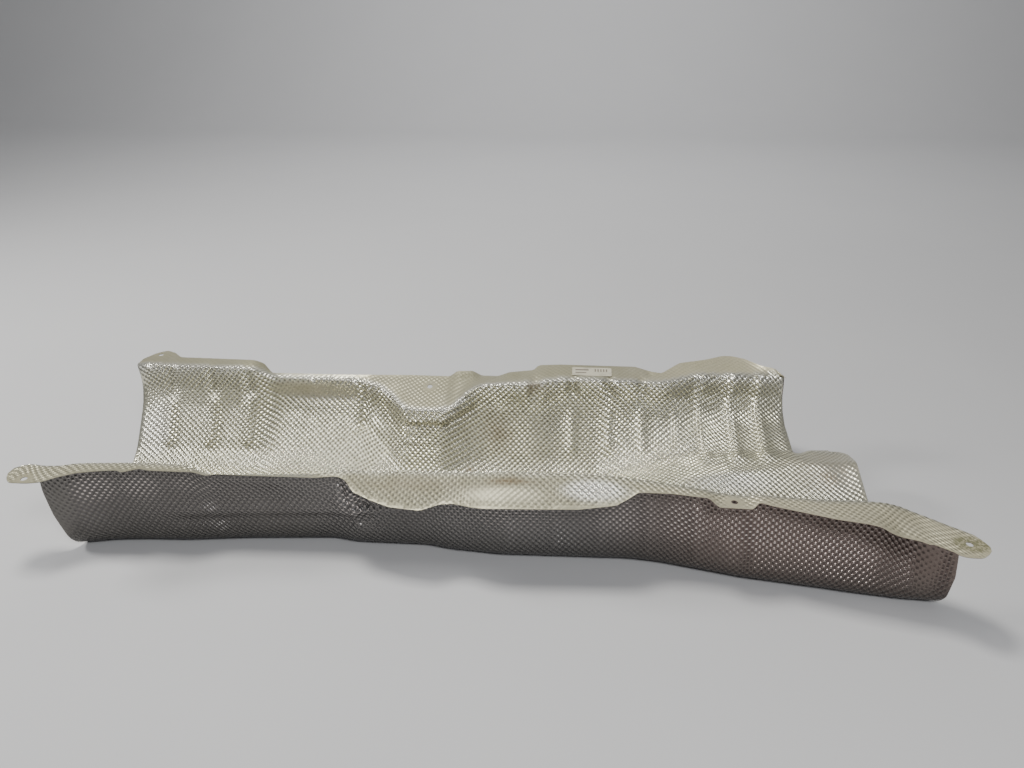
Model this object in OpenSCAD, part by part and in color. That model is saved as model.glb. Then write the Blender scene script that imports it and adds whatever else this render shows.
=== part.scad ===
/* [Overall] */
// length along the tunnel, from the tip of one ear to the tip of the other
shield_length = 1040; // [850:5:1300]
// width across the trough, over both flanges
shield_width = 395; // [320:5:480]
// height from the floor to the highest part of the far flange
shield_height = 131; // [100:1:170]
// thickness of the embossed sheet
sheet_thickness = 1; // [0.8:0.1:1.6]

/* [Forming] */
// radius of the corner between the near wall and the floor
corner_radius = 16; // [10:1:22]
// width of the rounding where a wall turns into its flange
bend_width = 5; // [3:0.5:7]
// depth of the ribs across the far wall
rib_depth = 4; // [0:0.5:5]
// width of a rib, from its crown to where it has mostly faded
rib_width = 7; // [4:1:12]

/* [Fixings] */
// diameter of the fixing holes
hole_diameter = 7; // [5:0.5:8]

/* [Label] */
// length of the paper label along the flange
label_length = 54; // [30:1:60]
// width of the paper label
label_width = 20; // [12:1:22]
// thickness of the paper label
label_thickness = 0.3; // [0.2:0.1:0.6]
// thickness of the glue between the label and the sheet
label_glue = 0.05; // [0.05:0.05:0.3]

/* [Hidden] */

// The stations below are drawn at this size and scaled to the size asked for.
drawn_length = 1040;
drawn_width = 395;
drawn_height = 131;
sx = shield_length / drawn_length;
sy = shield_width / drawn_width;
sz = shield_height / drawn_height;
// Middle of the drawn outline, moved to the origin.
drawn_mid_x = 8;
drawn_mid_y = 2.5;

// Every curve runs along the length: [x, y, z] of the middle of the sheet.
// Front edge of the near flange, with the left ear, the pads and the right ear.
NEAR_EDGE = [
  [-512, -130, 112], [-508, -141, 112], [-500, -149, 112], [-480, -149, 112],
  [-466, -146, 112], [-452, -134, 112], [-436, -125, 112], [-415, -120, 112],
  [-395, -117, 112], [-388, -121, 112], [-372, -112, 112], [-360, -115, 112],
  [-325, -115, 112], [-312, -110, 109], [-300, -106, 102], [-290, -103, 102],
  [-176, -100, 101], [-152, -100, 104], [-142, -104, 104], [-134, -112, 102],
  [-128, -121, 99], [-108, -128, 94], [-84, -136, 91], [-50, -140, 91],
  [-30, -130, 93], [-15, -129, 94], [5, -137, 96], [20, -140, 97],
  [120, -136, 98], [160, -133, 103], [172, -127, 107], [184, -120, 112],
  [220, -120, 112], [240, -123, 112], [258, -125, 112], [266, -137, 109],
  [302, -138, 109], [309, -129, 112], [320, -136, 113], [380, -155, 113],
  [410, -161, 113], [422, -164, 112], [432, -169, 108], [443, -167, 103],
  [458, -172, 103], [471, -181, 103], [481, -188, 103], [491, -194, 103],
  [497, -195, 103], [508, -195, 103], [518, -187, 103], [528, -173, 103]];
// Top of the near wall, where it turns outward into the near flange.
NEAR_BEND = [
  [-512, -118, 112], [-505, -107, 112], [-487, -105, 112], [-440, -101, 112],
  [-400, -97, 112], [-325, -97, 112], [-312, -98, 109], [-300, -98, 102],
  [-176, -91, 102], [-160, -90, 106], [-80, -91, 110], [30, -94, 117],
  [130, -95, 119], [200, -100, 117], [258, -107, 112], [266, -108, 109],
  [302, -111, 109], [309, -112, 113], [370, -118, 113], [420, -117, 113],
  [440, -118, 113], [458, -116, 107], [468, -118, 103], [484, -130, 103],
  [502, -144, 103], [514, -152, 103], [528, -167, 103]];
// Height of the raised bulge halfway across the near flange.
FLANGE_BULGE = [[90, 0], [108, 4], [150, 5], [168, 0]];
// Outer face of the near wall at its foot.
WALL_FOOT = [
  [-490, -122], [-468, -119], [-430, -110], [-394, -106], [-343, -104],
  [-270, -95], [-165, -87], [-138, -93], [-52, -93], [-27, -99], [33, -105],
  [184, -102], [218, -106], [262, -116], [305, -126], [369, -135],
  [431, -144], [471, -149], [520, -151]];
// Far side of the deep channel along the near wall.
CHANNEL = [[-490, -30], [150, -30], [270, -60], [520, -72]];
// Crown of the hump that rises along the right half of the floor.
HUMP = [
  [-490, 20, 0], [150, 20, 0], [200, 14, 20], [270, 12, 48], [340, 20, 54],
  [400, 34, 60], [470, 34, 65], [520, 34, 65]];
// Foot of the far wall, and past its right end the far edge of the tongue.
FAR_FOOT = [
  [-503, 58, 3], [-300, 66, 3], [-120, 52, 3], [-60, 52, 3], [0, 64, 3],
  [150, 66, 3], [200, 68, 22], [270, 70, 46], [340, 70, 50], [402, 68, 55],
  [412, 70, 53], [425, 79, 53], [470, 80, 54]];
// Top of the far wall, with the bay that dips toward the viewer.
FAR_BEND = [
  [-503, 128, 124], [-450, 128, 124], [-330, 128, 123], [-308, 138, 106],
  [-185, 139, 104], [-150, 128, 100], [-130, 112, 92], [-112, 88, 88],
  [-54, 88, 88], [-44, 94, 92], [-30, 108, 104], [-12, 116, 115],
  [60, 118, 118], [96, 130, 120], [190, 130, 120], [240, 130, 119],
  [290, 150, 123], [402, 157, 121]];
// Outer edge of the far flange.
FAR_EDGE = [
  [-497, 148, 124], [-488, 168, 124], [-476, 178, 124], [-462, 172, 124],
  [-446, 157, 124], [-336, 151, 126], [-324, 154, 120], [-312, 148, 108],
  [-200, 150, 108], [-150, 155, 107], [-112, 157, 107], [-58, 157, 107],
  [-48, 158, 115], [-26, 160, 115], [-14, 160, 108], [10, 156, 110],
  [26, 153, 118], [60, 156, 121], [66, 166, 124], [96, 168, 125],
  [200, 168, 125], [222, 160, 122], [236, 156, 122], [262, 178, 128],
  [300, 190, 129], [325, 200, 131], [338, 200, 131], [354, 192, 131], [374, 172, 130],
  [390, 166, 130], [402, 150, 123]];
// How squarely the far wall stands on the hump: 0 is a wide sweep, 1 a shelf.
SQUARENESS = [[150, 0], [400, 1]];
// Shape of the far wall from foot to top: across, and up for a sweep and a shelf.
SWEEP = [[0.29, 0.13, 0.10], [0.60, 0.39, 0.20], [0.81, 0.58, 0.37],
         [0.94, 0.78, 0.62], [0.97, 0.93, 0.90]];
// Ribs across the far wall, and fainter creases down the near wall.
FAR_RIBS = [-450, -390, -338, 62, 114, 163, 209, 252, 289, 328, 364];
NEAR_CREASES = [42, 96, 147, 199, 251, 312];
crease_part = 0.35;

// Left end of each row of the sheet, from the near flange to the far flange.
row_left = [-487, -487, -487, -491, -496, -494, -486, -474, -468, -465, -472, -480,
            -487, -491, -494, -494, -493, -492, -492, -493, -496, -497, -497, -497];
// Right end of each row from the near flange to the tongue's far edge.
near_right = [528, 528, 528, 522, 510, 514, 515, 513, 509, 501, 496, 486, 472, 470, 470];
ear_tip = -512;
wall_right = 402;

// Rows across the sheet that other parts of the source name.
row_inner_edge = 2;
row_corner_end = 9;
row_far_foot = 14;
row_far_start = 15;
row_last = 23;
// Columns along the sheet: the ear, the trough and the right end.
ear_columns = 6;
trough_columns = 86;
right_columns = 12;
col_trough = ear_columns;
col_wall_end = ear_columns + trough_columns;
col_last = col_wall_end + right_columns;

function column(t, k) = [for (r = t) [r[0], r[k]]];
near_edge_y = column(NEAR_EDGE, 1);
near_edge_z = column(NEAR_EDGE, 2);
near_bend_y = column(NEAR_BEND, 1);
near_bend_z = column(NEAR_BEND, 2);
hump_y = column(HUMP, 1);
hump_z = column(HUMP, 2);
far_foot_y = column(FAR_FOOT, 1);
far_foot_z = column(FAR_FOOT, 2);
far_bend_y = column(FAR_BEND, 1);
far_bend_z = column(FAR_BEND, 2);
far_edge_y = column(FAR_EDGE, 1);
far_edge_z = column(FAR_EDGE, 2);

function mix(a, b, k) = a + (b - a) * k;
function mix2(p, q, k) = [mix(p[0], q[0], k), mix(p[1], q[1], k)];
function bump(x, places) = len([for (p = places) if (abs(x - p) < 3 * rib_width) p]) == 0 ? 0
  : max([for (p = places) exp(-pow((x - p) / rib_width, 2))]);

// Points of the rows, [y, z] for row j at the length x.
function near_edge(x) = [lookup(x, near_edge_y), lookup(x, near_edge_z)];
function near_bend(x) = [lookup(x, near_bend_y), lookup(x, near_bend_z)];
function flange_inner(x) = near_bend(x) - [bend_width, 0];
function wall_top(x) = near_bend(x) - [0, bend_width];
function wall_low(x) = [lookup(x, WALL_FOOT), corner_radius];
function hump(x) = [lookup(x, hump_y), lookup(x, hump_z)];
function far_foot(x) = [lookup(x, far_foot_y), lookup(x, far_foot_z)];
function far_bend(x) = [lookup(x, far_bend_y), lookup(x, far_bend_z)];
function far_edge(x) = [lookup(x, far_edge_y), lookup(x, far_edge_z)];

function near_rows(x, j) =
  j == 0 ? near_edge(x)
  : j == 1 ? mix2(near_edge(x), flange_inner(x), 0.5) + [0, lookup(x, FLANGE_BULGE)]
  : j == 2 ? flange_inner(x)
  : j == 3 ? near_bend(x) - [bend_width, bend_width] * 0.28
  : j == 4 ? wall_top(x)
  : j < 7 ? mix2(wall_top(x), wall_low(x), (j - 4) / 3)
            - [crease_part * rib_depth * bump(x, NEAR_CREASES), 0]
  : j == 7 ? wall_low(x)
  : j == 8 ? wall_low(x) + [0.3, -0.7] * corner_radius
  : wall_low(x) + [1, -1] * corner_radius;

function floor_rows(x, j) =
  j == 10 ? [(lookup(x, WALL_FOOT) + corner_radius + lookup(x, CHANNEL)) / 2, 0]
  : j == 11 ? [lookup(x, CHANNEL), 0]
  : j == 12 ? [(lookup(x, CHANNEL) + hump(x)[0]) / 2, 0.62 * hump(x)[1]]
  : j == 13 ? hump(x)
  : far_foot(x);

function far_rows(x, j) =
  j < 20 ? let (s = SWEEP[j - row_far_start], f = far_foot(x), b = far_bend(x),
                up = mix(s[1], s[2], lookup(x, SQUARENESS)))
    [mix(f[0], b[0], s[0]) - rib_depth * bump(x, FAR_RIBS), mix(f[1], b[1] - bend_width, up)]
  : j == 20 ? far_bend(x) - [0, 0.8 * bend_width]
  : j == 21 ? far_bend(x) + [0.8 * bend_width, 0]
  : j == 22 ? mix2(far_bend(x) + [0.8 * bend_width, 0], far_edge(x), 0.5)
  : far_edge(x);

function row_point(x, j) =
  j <= row_corner_end ? near_rows(x, j)
  : j <= row_far_foot ? floor_rows(x, j)
  : far_rows(x, j);

function row_right(j) = j <= row_far_foot ? near_right[j] : wall_right;

function station(i, j) =
  i < col_trough ? mix(ear_tip, row_left[j], i / ear_columns)
  : i <= col_wall_end ? mix(row_left[j], wall_right, (i - col_trough) / trough_columns)
  : mix(wall_right, row_right(j), (i - col_wall_end) / right_columns);

function place(p) = [sx * (p[0] - drawn_mid_x), sy * (p[1] - drawn_mid_y),
                     sz * p[2] + sheet_thickness / 2];
function mid_point(i, j) = let (x = station(i, j), p = row_point(x, j)) place([x, p[0], p[1]]);

// Which points and which four-cornered cells of the grid the sheet has.
function has_point(i, j) = i < col_trough ? j <= row_inner_edge
  : i <= col_wall_end ? true : j <= row_far_foot;
function has_cell(i, j) = i >= 0 && j >= 0 && i < col_last && j < row_last
  && (i < col_trough ? j < row_inner_edge : i < col_wall_end ? true : j < row_far_foot);

MID = [for (i = [0:col_last]) [for (j = [0:row_last]) mid_point(i, j)]];

function step_i(i, j) =
  let (a = i > 0 && has_point(i - 1, j) ? i - 1 : i,
       b = i < col_last && has_point(i + 1, j) ? i + 1 : i) MID[b][j] - MID[a][j];
function step_j(i, j) =
  let (a = j > 0 ? j - 1 : j,
       b = j < row_last && has_point(i, j + 1) ? j + 1 : j) MID[i][b] - MID[i][a];
function unit(v) = v / norm(v);
function normal(i, j) = has_point(i, j) ? unit(cross(step_i(i, j), step_j(i, j))) : [0, 0, 1];

rows = row_last + 1;
skin = (col_last + 1) * rows;
function top_id(i, j) = i * rows + j;
function low_id(i, j) = skin + top_id(i, j);

SKINS = [for (side = [0.5, -0.5]) for (i = [0:col_last]) for (j = [0:row_last])
  MID[i][j] + side * sheet_thickness * normal(i, j)];

TOP_FACES = [for (i = [0:col_last - 1]) for (j = [0:row_last - 1]) if (has_cell(i, j))
  each [[top_id(i, j), top_id(i + 1, j + 1), top_id(i + 1, j)],
        [top_id(i, j), top_id(i, j + 1), top_id(i + 1, j + 1)]]];
LOW_FACES = [for (i = [0:col_last - 1]) for (j = [0:row_last - 1]) if (has_cell(i, j))
  each [[low_id(i, j), low_id(i + 1, j), low_id(i + 1, j + 1)],
        [low_id(i, j), low_id(i + 1, j + 1), low_id(i, j + 1)]]];
function rim(a, b, c, d) = [[a, b, c], [a, c, d]];
RIM_FACES = [for (i = [0:col_last - 1]) for (j = [0:row_last - 1]) if (has_cell(i, j)) each [
  if (!has_cell(i, j - 1)) each rim(top_id(i, j), top_id(i + 1, j), low_id(i + 1, j), low_id(i, j)),
  if (!has_cell(i, j + 1)) each rim(top_id(i + 1, j + 1), top_id(i, j + 1),
                                    low_id(i, j + 1), low_id(i + 1, j + 1)),
  if (!has_cell(i - 1, j)) each rim(top_id(i, j + 1), top_id(i, j), low_id(i, j), low_id(i, j + 1)),
  if (!has_cell(i + 1, j)) each rim(top_id(i + 1, j), top_id(i + 1, j + 1),
                                    low_id(i + 1, j + 1), low_id(i + 1, j))]];

// Fixing holes: [x, y, z of the pad, tilt of the pad about the length].
bay_drop = (far_edge(-84)[1] - far_bend(-84)[1]) * sz;
bay_run = (far_edge(-84)[0] - far_bend(-84)[0] - 0.8 * bend_width) * sy;
bay_tilt = atan2(bay_drop, bay_run);
bay_hole_y = 136;
bay_hole_z = mix(far_bend(-84)[1], far_edge(-84)[1],
                 (bay_hole_y - far_bend(-84)[0] - 0.8 * bend_width)
                 / (far_edge(-84)[0] - far_bend(-84)[0] - 0.8 * bend_width));
HOLES = [[-487, -141, 112, 0], [284, -127, 109, 0], [504, -174, 103, 0],
         [-84, bay_hole_y, bay_hole_z, bay_tilt], [-478, 162, 124, 0]];
cutter_height = 20;

module fixing_holes() {
  for (h = HOLES)
    translate(place([h[0], h[1], h[2]])) rotate([h[3], 0, 0])
      cylinder(h = cutter_height, d = hole_diameter, center = true, $fn = 32);
}

module heat_shield() {
  color([0.78, 0.76, 0.70]) difference() {
    polyhedron(points = SKINS, faces = concat(TOP_FACES, LOW_FACES, RIM_FACES), convexity = 12);
    fixing_holes();
  }
}

// The label lies on the flat stretch of the far flange.
label_x = 140;
label_y = 152;
flange_y = far_bend(label_x)[0] + 0.8 * bend_width;
flange_z = far_bend(label_x)[1];
flange_fall = (far_edge(label_x)[1] - flange_z) * sz;
flange_run = (far_edge(label_x)[0] - flange_y) * sy;
label_tilt = atan2(flange_fall, flange_run);
label_z = mix(flange_z, far_edge(label_x)[1],
              (label_y - flange_y) / (far_edge(label_x)[0] - flange_y));

module paper_label() {
  color([0.93, 0.92, 0.88])
    translate(place([label_x, label_y, label_z])) rotate([label_tilt, 0, 0])
      translate([-label_length / 2, -label_width / 2, sheet_thickness / 2 + label_glue])
        cube([label_length, label_width, label_thickness]);
}

heat_shield();
paper_label();
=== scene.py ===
"""Embossed aluminium heat shield: one pressed sheet with a paper label.

The sheet is a surface on a lattice of columns along the length and rows across
it.  Every row follows the stations that the CAD model is drawn with.  The relief
of the embossed sheet, its ribs, folds and dents are moves of that surface along
its own normal, and its two skins, rims and fixing holes are one closed mesh.
"""
import logging
import math
from dataclasses import dataclass, field
from enum import Enum
from typing import Any

import bpy
import numpy as np
from numpy.typing import NDArray
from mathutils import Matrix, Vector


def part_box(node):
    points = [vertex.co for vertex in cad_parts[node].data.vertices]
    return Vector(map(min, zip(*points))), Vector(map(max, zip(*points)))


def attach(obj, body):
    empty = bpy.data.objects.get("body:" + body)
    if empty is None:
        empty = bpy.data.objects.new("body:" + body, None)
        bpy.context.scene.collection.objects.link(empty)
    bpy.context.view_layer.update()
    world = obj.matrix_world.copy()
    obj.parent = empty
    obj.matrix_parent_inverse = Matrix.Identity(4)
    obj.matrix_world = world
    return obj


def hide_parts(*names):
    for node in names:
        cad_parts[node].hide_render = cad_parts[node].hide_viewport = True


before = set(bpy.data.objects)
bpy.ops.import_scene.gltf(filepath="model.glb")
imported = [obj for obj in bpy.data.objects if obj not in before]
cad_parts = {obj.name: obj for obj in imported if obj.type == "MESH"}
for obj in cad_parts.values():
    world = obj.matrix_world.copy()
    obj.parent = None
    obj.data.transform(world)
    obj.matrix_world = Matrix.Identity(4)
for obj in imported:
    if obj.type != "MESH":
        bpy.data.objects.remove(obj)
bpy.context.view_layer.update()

LOG = logging.getLogger("heat_shield")
MM = 0.001
Array = NDArray[np.float64]
Ints = NDArray[np.int64]
Point = tuple[float, float, float]
Colour = tuple[float, ...]


@dataclass(frozen=True)
class Curve:
    """A curve through stations, joined by straight lines with rounded corners.

    Attributes:
        table: Stations in mm, the length first, then what the curve has there.
        soft: Half the length of the rounding in mm.
    """

    table: Array
    soft: float

    def at(self, x: Array) -> Array:
        """What the curve has at the lengths x.

        The value is the weighted mean of five places within soft of x, so a
        corner turns into a short curve.

        Args:
            x: Lengths in mm, of any shape.

        Returns:
            An array with one more axis than x, the table's other columns.
        """
        taps = x[..., None] + self.soft * np.linspace(-1, 1, 5)
        weights = np.array([1, 2, 3, 2, 1]) / 9
        columns = [np.interp(taps, self.table[:, 0], self.table[:, k]) @ weights
                   for k in range(1, self.table.shape[1])]
        return np.stack(columns, -1)


def stations(soft: float, *rows: tuple[float, ...]) -> Curve:
    """A curve from its rounding and its stations."""
    return Curve(np.array(rows, float), soft)


# Where the CAD frame's origin lies in the frame that the stations are drawn in.
DRAWN_MIDDLE = np.array([8.0, 2.5, -0.5])
# The stations in mm of the drawn frame: the length, then Y and Z, Y, or a height.  They
# are the CAD source's, but the near bend dips toward the near side behind the left ear.
NEAR_EDGE = stations(
    2.5,
    (-512, -130, 112), (-508, -141, 112), (-500, -149, 112), (-480, -149, 112),
    (-466, -146, 112), (-452, -134, 112), (-436, -125, 112), (-415, -120, 112),
    (-395, -117, 112), (-388, -121, 112), (-372, -112, 112), (-360, -115, 112),
    (-325, -115, 112), (-312, -110, 109), (-300, -106, 102), (-290, -103, 102),
    (-176, -100, 101), (-152, -100, 104), (-142, -104, 104), (-134, -112, 102),
    (-128, -121, 99), (-108, -128, 94), (-84, -136, 91), (-50, -140, 91),
    (-30, -130, 93), (-15, -129, 94), (5, -137, 96), (20, -140, 97),
    (120, -136, 98), (160, -133, 103), (172, -127, 107), (184, -120, 112),
    (220, -120, 112), (240, -123, 112), (258, -125, 112), (266, -137, 109),
    (302, -138, 109), (309, -129, 112), (320, -136, 113), (380, -155, 113),
    (410, -161, 113), (422, -164, 112), (432, -169, 108), (443, -167, 103),
    (458, -172, 103), (471, -181, 103), (481, -188, 103), (491, -194, 103),
    (497, -195, 103), (508, -195, 103), (518, -187, 103), (528, -173, 103))
NEAR_BEND = stations(
    7.0,
    (-512, -118, 112), (-505, -107, 112), (-496, -108, 112), (-482, -111, 112),
    (-466, -110, 112), (-452, -103, 112), (-440, -101, 112),
    (-400, -97, 112), (-325, -97, 112), (-312, -98, 109), (-300, -98, 102),
    (-176, -91, 102), (-160, -90, 106), (-80, -91, 110), (30, -94, 117),
    (130, -95, 119), (200, -100, 117), (258, -107, 112), (266, -108, 109),
    (302, -111, 109), (309, -112, 113), (370, -118, 113), (420, -117, 113),
    (440, -118, 113), (458, -116, 107), (468, -118, 103), (484, -130, 103),
    (502, -144, 103), (514, -152, 103), (528, -167, 103))
FLANGE_BULGE = stations(4.0, (90, 0), (108, 4), (150, 5), (168, 0))
WALL_FOOT = stations(
    9.0,
    (-490, -122), (-468, -119), (-430, -110), (-394, -106), (-343, -104),
    (-270, -95), (-165, -87), (-138, -93), (-52, -93), (-27, -99), (33, -105),
    (184, -102), (218, -106), (262, -116), (305, -126), (369, -135),
    (431, -144), (471, -149), (520, -151))
CHANNEL = stations(10.0, (-490, -30), (150, -30), (270, -60), (520, -72))
HUMP = stations(
    10.0,
    (-490, 20, 0), (150, 20, 0), (200, 14, 20), (270, 12, 48), (340, 20, 54),
    (400, 34, 60), (470, 34, 65), (520, 34, 65))
FAR_FOOT = stations(
    4.0,
    (-503, 58, 3), (-300, 66, 3), (-120, 52, 3), (-60, 52, 3), (0, 64, 3),
    (150, 66, 3), (200, 68, 22), (270, 70, 46), (340, 70, 50), (402, 68, 55),
    (412, 70, 53), (425, 79, 53), (470, 80, 54))
FAR_BEND = stations(
    13.0,
    (-503, 128, 124), (-450, 128, 124), (-330, 128, 123), (-308, 138, 106),
    (-185, 139, 104), (-150, 128, 100), (-130, 112, 92), (-112, 88, 88),
    (-54, 88, 88), (-44, 94, 92), (-30, 108, 104), (-12, 116, 115),
    (60, 118, 118), (96, 130, 120), (190, 130, 120), (240, 130, 119),
    (290, 150, 123), (402, 157, 121))
FAR_EDGE = stations(
    2.0,
    (-497, 148, 124), (-488, 168, 124), (-476, 178, 124), (-462, 172, 124),
    (-446, 157, 124), (-336, 151, 126), (-324, 154, 120), (-312, 148, 108),
    (-200, 150, 108), (-150, 155, 107), (-112, 157, 107), (-58, 157, 107),
    (-48, 158, 115), (-26, 160, 115), (-14, 160, 108), (10, 156, 110),
    (26, 153, 118), (60, 156, 121), (66, 166, 124), (96, 168, 125),
    (200, 168, 125), (222, 160, 122), (236, 156, 122), (262, 178, 128),
    (300, 190, 129), (325, 200, 131), (338, 200, 131), (354, 192, 131),
    (374, 172, 130), (390, 166, 130), (402, 150, 123))
SQUARENESS = stations(1.0, (150, 0), (400, 1))
# The far wall from its foot to its top: the share of the way across, and the share of
# the way up in the wide sweep and in the square shelf.
SWEEP = ((0.29, 0.13, 0.10), (0.60, 0.39, 0.20), (0.81, 0.58, 0.37),
         (0.94, 0.78, 0.62), (0.97, 0.93, 0.90))
# The length at which each drawn row ends at the left, and the first ones at the right.
ROW_LEFT = np.array([
    -487, -487, -487, -491, -496, -494, -486, -474, -468, -465, -472, -480,
    -487, -491, -494, -494, -493, -492, -492, -493, -496, -497, -497, -497], float)
NEAR_RIGHT = np.array(
    [528, 528, 528, 506, 508, 512, 515, 513, 509, 501, 496, 486, 472, 470, 470], float)
# The lengths of the left ear's tip, the far wall's end, the lattice's end, and the
# right ear's tip.
EAR_TIP, WALL_RIGHT, TONGUE_RIGHT, EAR_END = -512.0, 402.0, 528.0, 523.0
BEND_WIDTH, CORNER_RADIUS = 5.0, 16.0
# Drawn rows: the near bend, the far wall's foot, its first row, its top and the last.
BEND_ROW, FOOT_ROW, FAR_ROW, TOP_ROW, LAST_ROW = 3, 14, 15, 20, 23
# How steeply a pleat rises and how far it fades, in widths, and how far off its line,
# in mm, a pressed feature ends.
PLEAT_RISE, PLEAT_FADE, PRESS_REACH = 2.2, 3.2, 50.0
# Heights in mm between which the flanges' flat rings and holes begin.
FLANGE_LEVEL = (82.0, 86.0)


def between(a: Array, b: Array, share: Any) -> Array:
    """The place that lies share of the way from a to b."""
    return a + (b - a) * share


def smooth_step(x: Array, low: float, high: float) -> Array:
    """0 below low, 1 above high, and a smooth turn between them."""
    t = np.clip((x - low) / (high - low), 0, 1)
    return t * t * (3 - 2 * t)


def walk(line: Array) -> Array:
    """How far along its polyline each point lies.

    Args:
        line: Points of many polylines, (lines, points, 3).

    Returns:
        Distances from each line's first point, (lines, points).
    """
    steps = np.linalg.norm(np.diff(line, axis=1), axis=2)
    return np.concatenate([np.zeros((len(line), 1)), np.cumsum(steps, 1)], 1)


def pick(line: Array, where: Array) -> Array:
    """Points of each polyline at given distances along it, by straight lines.

    Args:
        line: Points of many polylines, (lines, points, 3).
        where: Distances along each, (lines, wanted).

    Returns:
        The points, (lines, wanted, 3).
    """
    s = walk(line)
    cell = (where[:, :, None] >= s[:, None, 1:-1]).sum(-1)
    s0, s1 = np.take_along_axis(s, cell, 1), np.take_along_axis(s, cell + 1, 1)
    share = np.clip((where - s0) / np.maximum(s1 - s0, 1e-9), 0, 1)[..., None]
    p0 = np.take_along_axis(line, cell[..., None], 1)
    p1 = np.take_along_axis(line, cell[..., None] + 1, 1)
    return between(p0, p1, share)


def relax(grid: Array, passes: int) -> Array:
    """Rounds the corners across the rows: each inner row becomes a half of itself
    and a quarter of each neighbour, and the first and last rows stay."""
    for _ in range(passes):
        inner = 0.5 * grid[:, 1:-1] + 0.25 * (grid[:, :-2] + grid[:, 2:])
        grid = np.concatenate([grid[:, :1], inner, grid[:, -1:]], 1)
    return grid


class Form(Enum):
    """What a pressed feature does to the sheet."""

    BEAD = "bead"
    FOLD = "fold"
    PLEAT = "pleat"


@dataclass(frozen=True)
class Press:
    """A rib, fold or pleat along a straight line between two points of the sheet.

    Attributes:
        start: One end of the line, in mm of the CAD frame.
        end: The other end.
        width: Half the width of the feature in mm.
        height: How far it stands toward the inside of the trough, in mm.
        form: A BEAD is a rounded ridge, a FOLD has a ridge on one side and a
            groove on the other, and a PLEAT rises at once and fades away.
        fade: How far it runs out past its ends in mm.
    """

    start: Point
    end: Point
    width: float
    height: float
    form: Form = Form.BEAD
    fade: float = 8.0

    def lift(self, points: Array, normals: Array) -> Array:
        """How far the feature lifts each point along the normal.

        The distance u, in widths, is taken along the sheet, square to the line:
        it is the part of the way from the line that lies along the cross product
        of the normal and the line.  A bead is exp(-u * u), a fold is u times
        that, and a pleat is a steep rise that fades toward +X.  What lies far off
        the line, such as the trough's other wall, stays as it is.

        Args:
            points: Places on the sheet in mm, (any shape, 3).
            normals: The sheet's unit normals there.

        Returns:
            Heights in mm.
        """
        a, b = np.array(self.start), np.array(self.end)
        length = np.linalg.norm(b - a)
        way = (b - a) / length
        along = (points - a) @ way
        past = np.maximum(np.maximum(-along, along - length), 0)
        off = points - a - along[..., None] * way
        across = np.cross(normals, way)
        across = across / np.maximum(np.linalg.norm(across, axis=-1, keepdims=True), 1e-6)
        u = (off * across).sum(-1) / self.width
        if self.form is Form.BEAD:
            shape = np.exp(-u * u)
        elif self.form is Form.FOLD:
            shape = 1.6 * u * np.exp(-u * u)
        else:
            rise = 0.5 + 0.5 * np.tanh(PLEAT_RISE * u)
            shape = rise * np.exp(-np.maximum(u, 0) / PLEAT_FADE)
        near = np.exp(-(np.linalg.norm(off, axis=-1) / PRESS_REACH) ** 6)
        return self.height * shape * near * np.exp(-(past / self.fade) ** 2)


@dataclass(frozen=True)
class Spot:
    """A soft ellipsoid on the sheet, for a dent, a flattened place or a stain.

    Attributes:
        centre: Its middle in mm of the CAD frame.
        size: Half its length along X, Y and Z.
        amount: The value at its middle.
        hard: How square its profile is: 2 is a bell, more is a plateau.
    """

    centre: Point
    size: Point
    amount: float = 1.0
    hard: float = 2.0

    def at(self, points: Array) -> Array:
        """The spot's value at each point: amount times exp(-distance ** hard)."""
        away = (points - np.array(self.centre)) / np.array(self.size)
        return self.amount * np.exp(-np.linalg.norm(away, axis=-1) ** self.hard)


def strongest(marks: tuple[Spot, ...], points: Array) -> Array:
    """The highest value that any of the spots has at each point."""
    return np.max([spot.at(points) for spot in marks], axis=0)


def spots(*rows: tuple[float, ...]) -> tuple[Spot, ...]:
    """Spots from rows: the middle's X, Y and Z, the half lengths, and the rest."""
    return tuple(Spot(row[:3], row[3:6], *row[6:]) for row in rows)


def presses(*rows: tuple[Any, ...]) -> tuple[Press, ...]:
    """Pressed features from rows: both ends' X, Y and Z, and the rest."""
    return tuple(Press(row[:3], row[3:6], *row[6:]) for row in rows)


@dataclass(frozen=True)
class Hole:
    """A fixing hole with the flat ring pressed round it, in mm of the CAD frame.

    Attributes:
        x: Its middle along the length.
        y: Its middle across.
        radius: Its radius.
        ring: The ring's radius.
        margin: How far past its edge the lattice's points are taken out.
    """

    x: float
    y: float
    radius: float = 3.5
    ring: float = 8.0
    margin: float = 1.6


@dataclass
class Lattice:
    """How many steps the embossed pattern takes over the sheet.

    Attributes:
        pitch: Half the distance between two bosses in a row, in mm.
        ear: Columns of the left ear.
        trough: Columns from the left end to the end of the far wall.
        right: Columns of the right end.
        section: Rows between the near bend and the far bend at the most.
        flange: Rows that either flange has at the most.
    """

    pitch: float = 3.75
    ear: int = 7
    trough: int = 237
    right: int = 34
    section: int = 126
    flange: int = 15

    @property
    def columns(self) -> int:
        """All columns, the ear's first."""
        return self.ear + self.trough + self.right + 1

    @property
    def rows(self) -> int:
        """All rows, the near flange's first."""
        return 2 * self.flange + self.section + 1


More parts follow.
